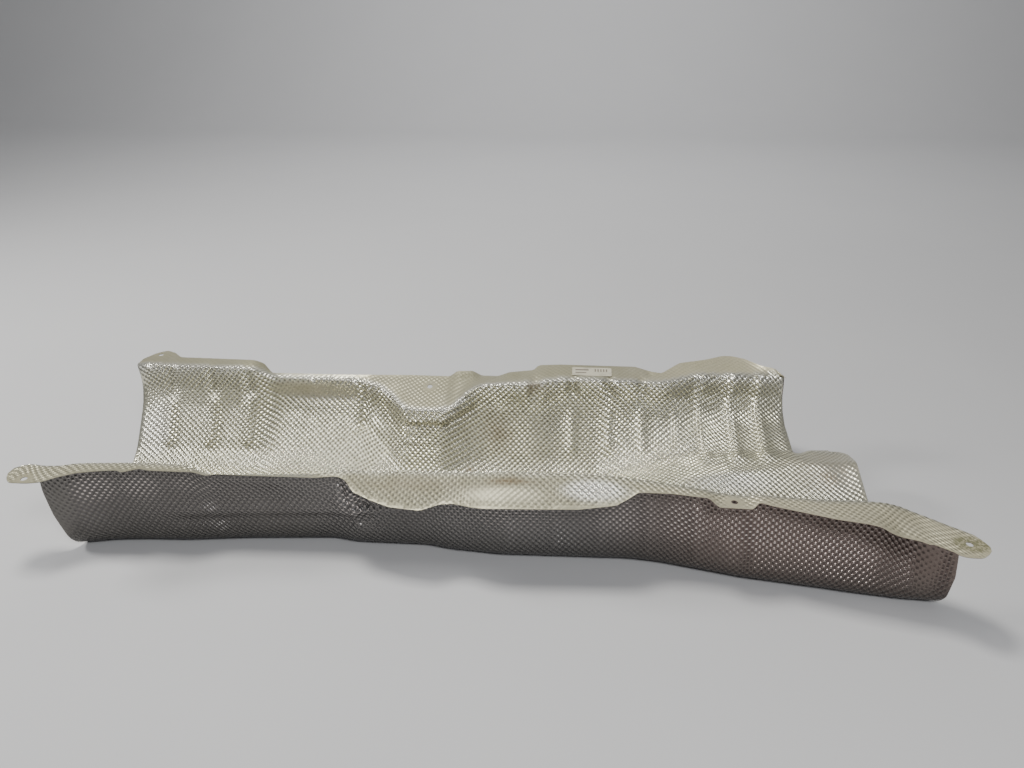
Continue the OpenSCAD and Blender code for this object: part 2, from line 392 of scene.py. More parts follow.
# Rows of both ends in mm, half the width, the height, and where they are needed the
# form and the fade.
RIBS = presses(
    # Beads up the left of the far wall, each with a dimple at its top.
    (-458, 110, 70, -457, 84, 29, 7.0, 4.6), (-458, 124, 114, -458, 117, 88, 8.0, -2.6),
    (-398, 114, 76, -398, 86, 30, 6.0, 5.4), (-398, 123, 116, -398, 117, 90, 7.0, -3.2),
    (-346, 116, 78, -345, 88, 31, 6.0, 5.2), (-346, 123, 116, -346, 118, 92, 7.0, -3.2),
    # Dimples under the fold in the middle, with faint beads below.
    (54, 117, 116, 54, 114, 104, 6.5, -5.2), (106, 122, 117, 106, 119, 106, 6.0, -5.4),
    (155, 125, 118, 155, 121, 106, 6.0, -5.0), (200, 126, 118, 200, 122, 108, 6.0, -4.0),
    (106, 108, 76, 107, 90, 38, 5.0, 3.0), (155, 108, 78, 156, 90, 40, 5.0, 3.0),
    (200, 108, 80, 202, 86, 44, 5.0, 3.4),
    # Pleats at the right of the far wall.
    (244, 118, 92, 244, 84, 52, 6.0, 4.0, Form.PLEAT),
    (281, 143, 118, 277, 50, 51, 6.0, 7.0, Form.PLEAT),
    (320, 149, 119, 316, 50, 53, 6.5, 9.0, Form.PLEAT),
    (357, 151, 119, 352, 52, 56, 6.5, 9.0, Form.PLEAT),
    # The second fold under the bay, and the valley left of it.
    (-112, 84, 70, -61, 85, 71, 4.5, 3.4, Form.FOLD),
    (-61, 85, 71, -34, 104, 84, 4.5, 3.0, Form.FOLD), (-187, 137, 100, -186, 112, 52, 6.0, -6.0),
    (-186, 112, 52, -150, 84, 34, 6.0, -2.6), (-120, 75, 41, -80, 74, 43, 3.0, 1.2, Form.FOLD),
    # Scratches that creased the far wall.
    (159, 105, 56, 187, 70, 24, 2.2, -1.2), (214, 89, 46, 233, 57, 37, 2.2, -1.2),
    (237, 45, 39, 266, 22, 48, 2.2, -1.0))
# What is pressed into the near wall from outside: creases, a long fold and a crumple.
NEAR_CREASES = presses(
    (34, -103, 78, 34, -107, 22, 5.5, 1.1), (88, -102, 80, 89, -106, 24, 5.5, 1.1),
    (138, -102, 82, 140, -106, 20, 5.5, 1.2), (190, -104, 86, 194, -107, 24, 6.0, 1.5),
    (241, -110, 84, 246, -117, 21, 6.0, 1.4), (302, -120, 84, 308, -130, 21, 6.0, 1.3),
    (-340, -104, 42, -150, -94, 45, 9.0, -3.4, Form.FOLD, 26),
    (-140, -95, 57, -93, -95, 59, 4.0, 2.2, Form.FOLD), (-160, -92, 90, -152, -94, 60, 4.0, -3.6),
    (-149, -94, 74, -143, -95, 34, 4.0, 3.2), (-136, -95, 80, -129, -95, 48, 3.5, -2.4),
    (-170, -93, 64, -128, -95, 52, 3.0, 2.0), (-318, -101, 97, -232, -98, 89, 7.0, 2.0))
# Rows of the middle and the half lengths in mm, the amount, and how square it is.  The
# dents stand toward the inside of the trough where the amount is above zero.
DENTS = spots(
    (-150, -93, 70, 12, 8, 16, 2.0), (-445, -108, 60, 26, 10, 26, -1.6),
    (-250, -96, 66, 60, 8, 16, -1.3), (-250, 132, 88, 62, 14, 13, -2.0, 3),
    (40, 108, 78, 30, 14, 12, -0.9), (129, -121, 116, 26, 9, 6, 3.4),
    (440, 10, 56, 16, 26, 8, -1.2), (212, 152, 122, 5, 7, 6, -2.2))
# Places where the embossing is pressed flat.
FLAT_SPOTS = spots(
    (30, -127, 105, 50, 13, 12, 0.7, 4), (-252, 133, 90, 64, 12, 13, 0.75, 4),
    (480, -146, 60, 15, 14, 52, 0.75, 4), (446, 34, 60, 32, 46, 16, 0.6, 3),
    (-498, 100, 110, 7, 60, 40, 0.5, 4), (-486, -112, 50, 17, 18, 62, 0.65, 4),
    (140, 152, 123, 32, 13, 8, 0.6, 6))
# Painted highlights: places where the colour is made near white to stand for light that the sheet
# catches.
HIGHLIGHT_SPOTS = spots(
    (30, -127, 105, 54, 14, 12, 0.06, 4), (130, -121, 113, 33, 12, 12, 1.0, 4),
    (310, 6, 48, 50, 18, 14, 0.7, 3), (430, 0, 55, 40, 40, 14, 0.35, 3),
    (-478, 90, 45, 22, 40, 42, 0.75, 3))
# Brown stains.
BROWN = spots(
    (36, -112, 114, 26, 4.0, 6, 0.9, 3), (430, 20, 58, 50, 50, 16, 0.42, 3),
    (54, 118, 113, 10, 8, 9, 1.0), (5, 98, 50, 22, 22, 26, 0.5), (426, 12, 55, 16, 18, 8, 0.8),
    (444, 16, 59, 5, 26, 9, 0.8), (440, 52, 60, 30, 14, 8, 0.35), (-30, 65, 11, 5, 5, 5, 0.8),
    (500, -176, 104, 19, 14, 6, 0.35, 5), (-497, -143, 113, 9, 9, 6, 0.3, 3),
    (-80, -113, 108, 60, 8, 12, 0.35), (-250, 132, 88, 66, 14, 14, 0.4, 3))
# The pale lip at the outer skin's left foot.
BARE = spots((-484, -121, 2, 14, 12, 5.5, 1.0, 6))
# Patches of the outer skin where its bosses get painted glints.
SPARKLE = spots(
    (-446, -108, 78, 26, 16, 17, 1.0, 4), (-392, -108, 80, 24, 16, 15, 0.9, 4),
    (-330, -108, 86, 30, 14, 10, 0.5, 3), (-148, -95, 70, 16, 12, 28, 0.9, 3),
    (30, -112, 66, 80, 16, 26, 0.7, 3), (165, -112, 66, 45, 16, 30, 0.8, 3),
    (226, -118, 66, 32, 18, 34, 1.0, 4), (300, -130, 66, 60, 20, 30, 0.9, 3),
    (400, -140, 60, 60, 20, 30, 0.5, 3), (462, -150, 50, 22, 20, 36, 0.5, 4))
# Greenish dirt.
GREEN = spots(
    (-44, 146, 112, 18, 14, 10, 0.9, 3), (28, 142, 119, 26, 9, 8, 0.55, 3),
    (220, 152, 123, 9, 8, 6, 0.7), (300, 175, 127, 62, 24, 8, 0.55, 3),
    (498, -176, 104, 19, 13, 7, 1.7, 6), (-495, -143, 113, 9, 9, 6, 0.5, 3),
    (120, 146, 122, 90, 16, 8, 0.3, 3), (-478, 165, 124, 26, 14, 6, 0.4, 3),
    (-330, 150, 118, 140, 16, 14, 0.38, 4), (-260, 85, 38, 120, 50, 45, 0.26, 3))
# The slow waves: height, divisors of X and of Z in mm, and phase.
WAVES = ((0.34, 17, 23, 0), (0.26, 31, -13, 1.7), (0.18, 9.5, 41, 0.6))
HOLES = (Hole(-495, -143.5), Hole(276, -129.5), Hole(496, -176.5), Hole(-92, 133.5),
         Hole(-486, 159.5, ring=6.0))


@dataclass
class EmbossedSheet:
    """The heat shield: one closed mesh with two skins, rims and fixing holes.

    Attributes:
        lattice: The steps of the embossed pattern.
        gauge: Thickness of the sheet itself in mm.
        rim_gauge: Thickness at the rims, where the cut edge is rolled a little.
        relief: How far a boss stands out from the middle of the sheet in mm.
        steps: Steps in which the trough's section is walked and rounded.
        rounding: How many times the section is relaxed.
        tongue_radius: Radius of the corner at the tongue's end in mm.
        ear_radius: Radius of the corner at the right ear's tip in mm.
        calm_near: How much flatter the bosses of the near flange are.
        calm_far: How much flatter those of the far flange are.
        fold_highlight: How strong the painted highlight along the far wall's upper fold is.
        fold_width: How wide that is, in mm.
        grid: Middle of the sheet at each lattice point, in mm.
        u: Each point's place along the pattern, in steps.
        v: Each point's place across the pattern, in steps.
        flange: 1 on the flanges and 0 in the trough.
        calming: How much flatter the bosses are at each point.
        painted_highlight: The painted highlight along the fold, in near white colour.
        right_col: The column, not whole, where each row ends at the right.
        low_row: The near rim's row in each column.
        high_row: The far rim's row in each column.
        foot_row: The row that lies on the far wall's foot.
    """

    lattice: Lattice = field(default_factory=Lattice)
    gauge: float = 0.5
    rim_gauge: float = 0.8
    relief: float = 0.25
    steps: int = 200
    rounding: int = 8
    tongue_radius: float = 20.0
    ear_radius: float = 20.0
    calm_near: float = 0.12
    calm_far: float = 0.72
    fold_highlight: float = 0.8
    fold_width: float = 6.5
    grid: Array = field(init=False)
    u: Array = field(init=False)
    v: Array = field(init=False)
    flange: Array = field(init=False)
    calming: Array = field(init=False)
    painted_highlight: Array = field(init=False)
    right_col: Array = field(init=False)
    low_row: Ints = field(init=False)
    high_row: Ints = field(init=False)
    foot_row: int = field(init=False)

    def station(self, row: int) -> Array:
        """Length of every column in one drawn row: evenly from the ear's tip, from
        the row's left end to the far wall's end, and on at the right end's pitch."""
        n = self.lattice
        i = np.arange(-n.ear, n.trough + n.right + 1, dtype=float)
        left = ROW_LEFT[row]
        ear = (between(EAR_TIP, left, (i + n.ear) / n.ear) if row < BEND_ROW
               else left + i * n.pitch)
        trough = between(left, WALL_RIGHT, i / n.trough)
        right = WALL_RIGHT + (i - n.trough) * (TONGUE_RIGHT - WALL_RIGHT) / n.right
        x = np.where(i < 0, ear, np.where(i <= n.trough, trough, right))
        x = np.maximum(x, EAR_TIP)
        return np.minimum(x, WALL_RIGHT) if row >= FAR_ROW else x

    def drawn_row(self, row: int) -> Array:
        """The middle of the sheet along one drawn row, (columns, 3), in drawn mm.

        The near flange runs from its edge to the bend, the wall falls to its
        rounded foot, the floor has a channel and a hump, and the far wall is a
        mix of a wide sweep and a shelf.
        """
        x = self.station(row)
        edge, bend = NEAR_EDGE.at(x), NEAR_BEND.at(x)
        inner, top = bend - [BEND_WIDTH, 0], bend - [0, BEND_WIDTH]
        low, channel = WALL_FOOT.at(x)[:, 0], CHANNEL.at(x)[:, 0]
        foot = np.stack([low, np.full_like(low, CORNER_RADIUS)], -1)
        hump, far_foot = HUMP.at(x), FAR_FOOT.at(x)
        far_bend, far_edge = FAR_BEND.at(x), FAR_EDGE.at(x)
        shelf = far_bend + [0.8 * BEND_WIDTH, 0]
        zero = np.zeros_like(x)
        swell = np.stack([zero, FLANGE_BULGE.at(x)[:, 0]], -1)
        squareness = SQUARENESS.at(x)[:, 0]
        sweep = [np.stack([between(far_foot[:, 0], far_bend[:, 0], across),
                           between(far_foot[:, 1], far_bend[:, 1] - BEND_WIDTH,
                                   between(wide, square, squareness))], -1)
                 for across, wide, square in SWEEP]
        yz = [
            edge, between(edge, inner, 0.5) + swell, inner, bend - 0.28 * BEND_WIDTH,
            *(between(top, foot, third / 3) for third in range(4)),
            foot + np.array([0.3, -0.7]) * CORNER_RADIUS,
            foot + np.array([1.0, -1.0]) * CORNER_RADIUS,
            np.stack([(low + CORNER_RADIUS + channel) / 2, zero], -1),
            np.stack([channel, zero], -1),
            np.stack([(channel + hump[:, 0]) / 2, 0.62 * hump[:, 1]], -1),
            hump, far_foot, *sweep, far_bend - [0, 0.8 * BEND_WIDTH],
            shelf, between(shelf, far_edge, 0.5), far_edge,
        ][row]
        return np.concatenate([x[:, None], yz], 1)

    def profiles(self) -> tuple[Array, Array, Array]:
        """The whole section of every column, from the near edge to the far edge.

        The trough is walked in even steps and relaxed, which rounds its corners,
        while its two bends and the flanges stay as drawn.  Past the far wall's
        end the section ends on the tongue's far edge, and its last three points
        go a hair past it, so that every section has as many points.

        Returns:
            The polylines (columns, points, 3), how far along the trough each
            drawn row lies, and how far along each column's trough ends.
        """
        n = self.lattice
        rows = [self.drawn_row(j) for j in range(LAST_ROW + 1)]
        top, shelf = rows[TOP_ROW], rows[TOP_ROW + 1]
        square = np.concatenate([top[:, :2], shelf[:, 2:]], 1)
        corner = 0.2 * top + 0.2 * shelf + 0.6 * square
        trough = np.stack([*rows[BEND_ROW:TOP_ROW + 1], corner], 1)
        marks = walk(trough)
        tongue = (np.arange(n.columns) > n.ear + n.trough)[:, None]
        end = np.where(tongue[:, 0], marks[:, FOOT_ROW - BEND_ROW], marks[:, -1])
        even = np.linspace(0, 1, self.steps + 1)[None, :] * end[:, None]
        fine = relax(pick(trough, even), self.rounding)
        hair = 1e-3 * np.array([1, 2, 3])[None, :, None]
        outward = (fine[:, -1] - fine[:, -2])[:, None, :] * hair
        far = np.where(tongue[..., None], fine[:, -1:] + outward,
                       np.stack(rows[TOP_ROW + 1:], 1))
        line = np.concatenate([np.stack(rows[:BEND_ROW], 1), fine, far], 1)
        return line, marks, end

    def body(self) -> None:
        """Works out the middle of the sheet and the lattice's limits.

        Rows lie a pitch apart along every section, counted from the near bend, so
        the pattern runs on across the folds.  The rows nearest to the far bend,
        to the tongue's edge and to the rims are moved onto them.
        """
        n = self.lattice
        line, marks, end = self.profiles()
        far_wall = n.ear + n.trough
        along = walk(line)
        along = along - along[:, BEND_ROW:BEND_ROW + 1]
        fold = along[:, BEND_ROW + self.steps]
        foot = fold[far_wall] * marks[far_wall, FOOT_ROW - BEND_ROW] / end[far_wall]
        low = np.minimum(np.round(along[:, 0] / n.pitch), -1)
        bend = np.round(fold / n.pitch)
        foot_row = round(foot / n.pitch)
        bend[far_wall + 1] = foot_row
        tongue = np.arange(n.columns) > far_wall
        high = np.where(tongue, bend, np.maximum(np.round(along[:, -1] / n.pitch), bend + 1))
        k = np.arange(n.rows)[None, :] - n.flange
        where = k * n.pitch + 0 * fold[:, None]
        where = np.where(k == bend[:, None], fold[:, None], where)
        where[far_wall, n.flange + foot_row] = foot
        where = np.where(k <= low[:, None], along[:, :1], where)
        rim = np.where(tongue, fold, along[:, -1])
        where = np.where(k >= high[:, None], rim[:, None], where)
        self.grid = pick(line, where - along[:, :1]) - DRAWN_MIDDLE
        self.v = where / n.pitch
        self.u = np.tile(np.arange(n.columns, dtype=float)[:, None] - n.ear, (1, n.rows))
        self.low_row = n.flange + low.astype(int)
        self.high_row = n.flange + high.astype(int)
        self.foot_row = n.flange + foot_row
        past_fold = k - np.where(tongue, n.rows, bend)[:, None]
        near, far = smooth_step(-1.0 * k, 0, 3), smooth_step(1.0 * past_fold, 0, 3)
        self.flange = np.maximum(near, far)
        self.calming = np.maximum(self.calm_near * near, self.calm_far * far)
        # Painted highlight: a band of near white colour along the far wall's upper fold.
        self.painted_highlight = self.fold_highlight * np.exp(-(past_fold * n.pitch / self.fold_width) ** 2)
        at_end = far_wall + int(0.75 * n.right)
        self.right_end(marks[at_end, :FOOT_ROW - BEND_ROW + 1] / n.pitch, bend[at_end])

    def right_end(self, drawn: Array, tongue_edge: float) -> None:
        """Works out where each row ends at the right.

        The trough's rows follow the drawn ends, less the quarter circle at the
        tongue's corner.  The flange's rows end on a quarter circle at the ear's tip.

        Args:
            drawn: Where the drawn rows lie near the right end, in lattice rows.
            tongue_edge: The row that the tongue's edge lies on there.
        """
        n = self.lattice
        rows = np.arange(n.rows) - n.flange
        ends = np.interp(rows, drawn, NEAR_RIGHT[BEND_ROW:])
        turn = np.clip(1 - (tongue_edge - rows) * n.pitch / self.tongue_radius, 0, 1)
        ends = ends - self.tongue_radius * (1 - np.sqrt(1 - turn * turn)) * (rows > 0)
        tip = np.clip(1 + rows * n.pitch / self.ear_radius, 0, 1)
        ear = EAR_END - self.ear_radius * (1 - np.sqrt(1 - tip * tip))
        ends = np.where(rows <= 0, ear, ends)
        pitch = (TONGUE_RIGHT - WALL_RIGHT) / n.right
        self.right_col = np.maximum((ends - WALL_RIGHT) / pitch, 1) + n.ear + n.trough

    def press(self) -> None:
        """Moves the sheet by its ribs, folds, pleats, dents and a slow unevenness.

        The ribs act on the far side and the creases on the near wall, from outside.
        The unevenness is a sum of three slow waves of under half a millimetre, and
        it dies out at the rims and at the floor, which stands flat.
        """
        p = self.grid
        normal = self.normals(p)
        x, y, z = p[..., 0], p[..., 1], p[..., 2]
        lift = sum(feature.lift(p, normal) for feature in RIBS) * smooth_step(y, 0, 20)
        outward = sum(feature.lift(p, normal) for feature in NEAR_CREASES)
        lift = lift - outward * smooth_step(-y, 60, 80)
        lift = lift + sum(d.at(p) for d in DENTS) * (2 * smooth_step(y, -60, -20) - 1)
        waves = sum(h * np.sin(x / along + z / up + phase) for h, along, up, phase in WAVES)
        edge = self.edge_distance()
        calm = smooth_step(z, 8, 24) * smooth_step(edge, 1, 5)
        self.grid = p + normal * (lift * smooth_step(edge, 0, 2) + waves * calm)[..., None]

    @staticmethod
    def normals(grid: Array) -> Array:
        """Unit normals of a grid, from the cross product of its two slopes."""
        along, across = np.gradient(grid, axis=0), np.gradient(grid, axis=1)
        n = np.cross(along, across)
        return n / np.maximum(np.linalg.norm(n, axis=-1, keepdims=True), 1e-12)

    def edge_distance(self) -> Array:
        """How many steps of the lattice each point lies from the nearest rim."""
        n = self.lattice
        r = np.arange(n.rows)[None, :]
        c = np.arange(n.columns, dtype=float)[:, None]
        across = np.minimum(r - self.low_row[:, None], self.high_row[:, None] - r)
        wall = n.ear + n.trough
        right = np.where((r > self.foot_row) & (c <= wall), wall - c, self.right_col[None, :] - c)
        left = np.where(r < n.flange, c, c - n.ear)
        return np.maximum(np.minimum.reduce([across + 0 * c, right, left + 0.0 * r]), 0)

    def relief_share(self, points: Array) -> Array:
        """How much of its full height a boss has: 0 at a rim, on the flat rings
        round the holes and where the sheet is pressed flat, and 1 elsewhere."""
        share = smooth_step(self.edge_distance(), 0.2, 1.6)
        share = share * (1 - strongest(FLAT_SPOTS, points)) * (1 - self.calming)
        for hole in HOLES:
            away = np.hypot(points[..., 0] - hole.x, points[..., 1] - hole.y)
            above = smooth_step(points[..., 2], *FLANGE_LEVEL)
            share = share * (1 - (1 - smooth_step(away, hole.ring, hole.ring + 4)) * above)
        return share

    def clamp_right(self, values: Array) -> Array:
        """Values of a grid with each row's last column moved onto the row's end."""
        last = np.round(self.right_col).astype(int)
        low = np.clip(np.floor(self.right_col).astype(int), 0, self.lattice.columns - 2)
        share = (self.right_col - low).reshape(-1, *([1] * (values.ndim - 2)))
        rows = np.arange(self.lattice.rows)
        out = values.copy()
        out[last, rows] = between(values[low, rows], values[low + 1, rows], share)
        return out

    def corners(self) -> Ints:
        """Which vertex each lattice point stands for: a point beyond a rim stands
        for the rim's own point in its row or column."""
        n = self.lattice
        r = np.arange(n.rows)[None, :]
        c = np.arange(n.columns)[:, None]
        row = np.clip(r + 0 * c, self.low_row[:, None], self.high_row[:, None])
        column = np.minimum(c, np.round(self.right_col).astype(int)[row])
        return column * n.rows + row

    def cells(self) -> Ints:
        """The skin's triangles, four-cornered cells cut along their lower diagonal.

        The ear has only the flange's cells, and past the far wall's end the rows
        end on the tongue's far edge.  Cells that a rim has pressed to a line go.
        """
        n = self.lattice
        a, r = np.meshgrid(np.arange(n.columns - 1), np.arange(n.rows - 1), indexing="ij")
        exists = np.where(a < n.ear, r < n.flange - 1,
                          (a != n.ear + n.trough) | (r < self.foot_row))
        a, r = a[exists], r[exists]
        ids = self.corners()
        v00, v10, v11, v01 = ids[a, r], ids[a + 1, r], ids[a + 1, r + 1], ids[a, r + 1]
        even = ((a - n.ear) + (r - n.flange)) % 2 == 0
        one = np.stack([v00, v10, np.where(even, v01, v11)], 1)
        two = np.stack([np.where(even, v10, v00), v11, v01], 1)
        tris = np.concatenate([one, two])
        whole = ((tris[:, 0] != tris[:, 1]) & (tris[:, 1] != tris[:, 2])
                 & (tris[:, 2] != tris[:, 0]))
        return tris[whole]

    def open_hole(self, hole: Hole, tris: Ints, data: dict[str, Array]) -> Ints:
        """Cuts one fixing hole and zips the sheet to its edge.

        The triangles that touch a vertex near the hole's middle go.  What is left
        round them, sorted by angle, is joined to a circle with two points for
        each of the rim's, on the plane through the rim.

        Args:
            hole: The hole.
            tris: The skin's triangles.
            data: The skin's arrays, one row a vertex, which grow by the circle.

        Returns:
            The skin's new triangles.
        """
        p = data["place"]
        middle = np.array([hole.x, hole.y])
        high = (p[:, 2] > np.mean(FLANGE_LEVEL)) & np.isin(np.arange(len(p)), tris)
        near = (np.hypot(*(p[:, :2] - middle).T) < hole.radius + hole.margin) & high
        cut = near[tris].any(1)
        rim = np.unique(tris[cut])
        rim = rim[~near[rim]]
        angle = np.arctan2(p[rim, 1] - middle[1], p[rim, 0] - middle[0])
        rim = rim[np.argsort(angle)]
        angle = np.sort(angle)
        turn = (np.roll(angle, -1) - angle) % (2 * math.pi)
        angles = np.stack([angle, angle + turn / 2], 1).ravel()
        plane, *_ = np.linalg.lstsq(np.c_[p[rim, :2], np.ones(len(rim))], p[rim, 2], rcond=None)
        xy = middle + hole.radius * np.stack([np.cos(angles), np.sin(angles)], 1)
        z = np.c_[xy, np.ones(len(xy))] @ plane
        normal = np.append(-plane[:2], 1.0) / np.linalg.norm(np.append(plane[:2], 1.0))
        first = len(p)
        data["place"] = np.vstack([p, np.c_[xy, z]])
        data["normal"] = np.vstack([data["normal"], np.tile(normal, (len(xy), 1))])
        data["uv"] = np.vstack([data["uv"], np.repeat(data["uv"][rim], 2, 0)])
        for name, value in (("relief", 0.0), ("flange", 1.0), ("painted_highlight", 0.0)):
            data[name] = np.append(data[name], np.full(len(xy), value))
        m = np.arange(len(rim))
        after = np.roll(m, -1)
        ring = np.concatenate([
            np.stack([rim, rim[after], first + 2 * m + 1], 1),
            np.stack([rim, first + 2 * m + 1, first + 2 * m], 1),
            np.stack([rim[after], first + 2 * after, first + 2 * m + 1], 1)])
        return np.concatenate([tris[~cut], ring])

    def build(self) -> bpy.types.Object:
        """Makes the whole sheet.

        Each skin lies half the gauge from the middle along the normal, and both
        follow the relief.  The boss at an even point of the lattice goes up and
        the one at an odd point goes down, so the sheet has a peak every second
        step, in rows that are half a peak apart.

        Returns:
            The sheet's object.
        """
        self.body()
        self.press()
        n = self.lattice
        relief = self.relief_share(self.grid)
        parity = 1 - 2 * ((np.arange(n.columns)[:, None] - n.ear
                           + np.arange(n.rows)[None, :] - n.flange) % 2)
        data = {
            "place": self.clamp_right(self.grid).reshape(-1, 3),
            "normal": self.clamp_right(self.normals(self.grid)).reshape(-1, 3),
            "uv": np.stack([self.clamp_right(self.u), self.v], -1).reshape(-1, 2),
            "relief": (relief * parity).ravel(),
            "flange": self.clamp_right(self.flange[..., None]).ravel(),
            "painted_highlight": self.clamp_right(self.painted_highlight[..., None]).ravel(),
        }
        tris = self.cells()
        for hole in HOLES:
            tris = self.open_hole(hole, tris, data)
        used, tris = np.unique(tris, return_inverse=True)
        tris = tris.reshape(-1, 3)
        data = {name: values[used] for name, values in data.items()}
        count = len(used)
        half = np.full(count, self.gauge / 2)
        half[np.unique(rims(tris))] = self.rim_gauge / 2
        boss = self.relief * data["relief"]
        places = np.concatenate([data["place"] + data["normal"] * height[:, None]
                                 for height in (boss + half, boss - half)])
        places[:, 2] = np.maximum(places[:, 2], 0)
        marks = {
            "relief": np.tile(np.abs(data["relief"]), 2),
            "outer": np.repeat([0.0, 1.0], count) * (1 - strongest(BARE, places)),
            "flange": np.tile(data["flange"], 2),
            "sparkle": strongest(SPARKLE, places),
            "painted_highlight": np.maximum(strongest(HIGHLIGHT_SPOTS, places), np.tile(data["painted_highlight"], 2)),
            "brown": strongest(BROWN, places),
            "green": strongest(GREEN, places),
        }
        return new_piece("embossed_sheet", places * MM, two_skins(tris, count),
                         np.tile(data["uv"], (2, 1)), marks)


def rims(tris: Ints) -> Ints:
    """A skin's open edges, as directed pairs whose reverse no triangle has."""
    edges = np.concatenate([tris[:, [0, 1]], tris[:, [1, 2]], tris[:, [2, 0]]])
    size = tris.max() + 1
    forward, back = edges @ [size, 1], edges @ [1, size]
    return edges[~np.isin(forward, back)]


def two_skins(tris: Ints, count: int) -> Ints:
    """Closes a skin with a second one under it and walls along its rims.

    Args:
        tris: The upper skin's triangles.
        count: How many vertices it has, after which the lower skin's follow.

    Returns:
        The triangles of both skins and the walls.
    """
    a, b = rims(tris).T
    wall = np.concatenate([np.stack([b, a, a + count], 1),
                           np.stack([b, a + count, b + count], 1)])
    return np.concatenate([tris, tris[:, ::-1] + count, wall])


def linked(name: str, data: bpy.types.ID) -> bpy.types.Object:
    """A new object with this data, put into the scene."""
    thing = bpy.data.objects.new(name, data)
    bpy.context.scene.collection.objects.link(thing)
    return thing


def new_piece(name: str, places: Array, faces: Ints, uv: Array,
              marks: dict[str, Array]) -> bpy.types.Object:
    """Puts arrays into a mesh object at the origin.

    Args:
        name: The piece's name.
        places: Vertices in metres.
        faces: Triangles, wound outwards.
        uv: One pair a vertex, written to every corner that uses it.
        marks: Named numbers, one a vertex.

    Returns:
        The new object, shaded smooth with its sharp edges kept.
    """
    mesh = bpy.data.meshes.new(name)
    mesh.from_pydata(places.tolist(), [], faces.tolist())
    layer = mesh.uv_layers.new(name="pattern")
    corner = np.empty(len(mesh.loops), np.int32)
    mesh.loops.foreach_get("vertex_index", corner)
    layer.data.foreach_set("uv", uv[corner].astype(np.float32).ravel())
    for label, values in marks.items():
        mesh.attributes.new(label, "FLOAT", "POINT").data.foreach_set(
            "value", np.asarray(values, np.float32))
    mesh.shade_smooth()
    mesh.set_sharp_from_angle(angle=math.radians(62))
    mesh.update()
    return linked(name, mesh)


@dataclass
class PaperLabel:
    """The paper label on the far flange, a thin slab with soft waves.

    Attributes:
        columns: Steps along the label.
        rows: Steps across it.
        wave: Height of the waves that the embossing gives the paper, in mm.
        pitch: Half the length of a wave in mm.
        thick: Thickness of the slab with its waves, in mm.
    """

    columns: int = 54
    rows: int = 20
    wave: float = 0.12
    pitch: float = 3.75
    thick: float = 0.3

    @staticmethod
    def pull(share: Array, amount: float, start: float, steep: float) -> Array:
        """How far in the label's lines are pulled, which grows from start to its edges."""
        return amount * np.clip(np.abs(2 * share - 1) - start, 0, 1) * steep

    def build(self) -> bpy.types.Object:
        """Makes the label inside the CAD label's box.

        The slab's middle is the plane of the CAD label.  Its height is a product
        of two cosines at the pattern's pitch, and its corners are rounded by
        pulling the grid's corner points in.

        Returns:
            The label's object.
        """
        low, high = (np.array(c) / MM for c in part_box("paper_label"))
        u, v = np.meshgrid(np.linspace(0, 1, self.columns + 1),
                           np.linspace(0, 1, self.rows + 1), indexing="ij")
        x = between(low[0], high[0], 0.5 + (u - 0.5) * (1 - self.pull(v, 0.035, 0.9, 10)))
        y = between(low[1], high[1], 0.5 + (v - 0.5) * (1 - self.pull(u, 0.05, 0.96, 25)))
        base = between(low[2], high[2] - self.thick, v)
        ripple = np.cos(x * math.pi / self.pitch) * np.cos(y * math.pi / self.pitch)
        waves = self.wave * (0.5 + 0.5 * ripple)
        under = np.stack([x, y, base], -1).reshape(-1, 3)
        over = np.stack([x, y, base + self.thick - self.wave + waves], -1).reshape(-1, 3)
        ids = np.arange(u.size).reshape(u.shape)
        v00, v10, v11, v01 = ids[:-1, :-1], ids[1:, :-1], ids[1:, 1:], ids[:-1, 1:]
        tris = np.concatenate([np.stack([v00, v10, v11], -1).reshape(-1, 3),
                               np.stack([v00, v11, v01], -1).reshape(-1, 3)])
        places = np.concatenate([over, under]) * MM
        uv = np.tile(np.stack([u, v], -1).reshape(-1, 2), (2, 1))
        return new_piece("paper_label_piece", places, two_skins(tris, u.size), uv, {})


class Signal:
    """A shader socket on which sums are written as Python expressions."""

    def __init__(self, tree: bpy.types.NodeTree, socket: bpy.types.NodeSocket) -> None:
        """Wraps one output socket of a node tree."""
        self.tree, self.socket = tree, socket

    def math(self, operation: str, *others: "Signal | float") -> "Signal":
        """A Math node on this value and up to two others."""
        node = self.tree.nodes.new("ShaderNodeMath")
        node.operation = operation
        for slot, value in zip(node.inputs, (self, *others)):
            feed(self.tree, slot, value)
        return Signal(self.tree, node.outputs[0])

    def __add__(self, other: "Signal | float") -> "Signal":
        """This value plus another."""
        return self.math("ADD", other)

    __radd__ = __add__

    def __mul__(self, other: "Signal | float") -> "Signal":
        """This value times another."""
        return self.math("MULTIPLY", other)

    __rmul__ = __mul__

    def __sub__(self, other: "Signal | float") -> "Signal":
        """This value less another."""
        return self.math("SUBTRACT", other)

    def __rsub__(self, other: float) -> "Signal":
        """A number less this value."""
        return (self * -1.0).math("ADD", other)

    def step(self, low: float, high: float) -> "Signal":
        """0 below low, 1 above high, and a smooth turn between them."""
        node = self.tree.nodes.new("ShaderNodeMapRange")
        node.interpolation_type = "SMOOTHSTEP"
        for slot, value in zip(node.inputs, (self, low, high, 0.0, 1.0)):
            feed(self.tree, slot, value)
        return Signal(self.tree, node.outputs[0])


def feed(tree: bpy.types.NodeTree, slot: bpy.types.NodeSocket, value: Any) -> None:
    """Links a signal or socket to a slot, or sets the slot's own value."""
    if isinstance(value, Signal):
        tree.links.new(value.socket, slot)
    elif isinstance(value, bpy.types.NodeSocket):
        tree.links.new(value, slot)
    else:
        slot.default_value = value


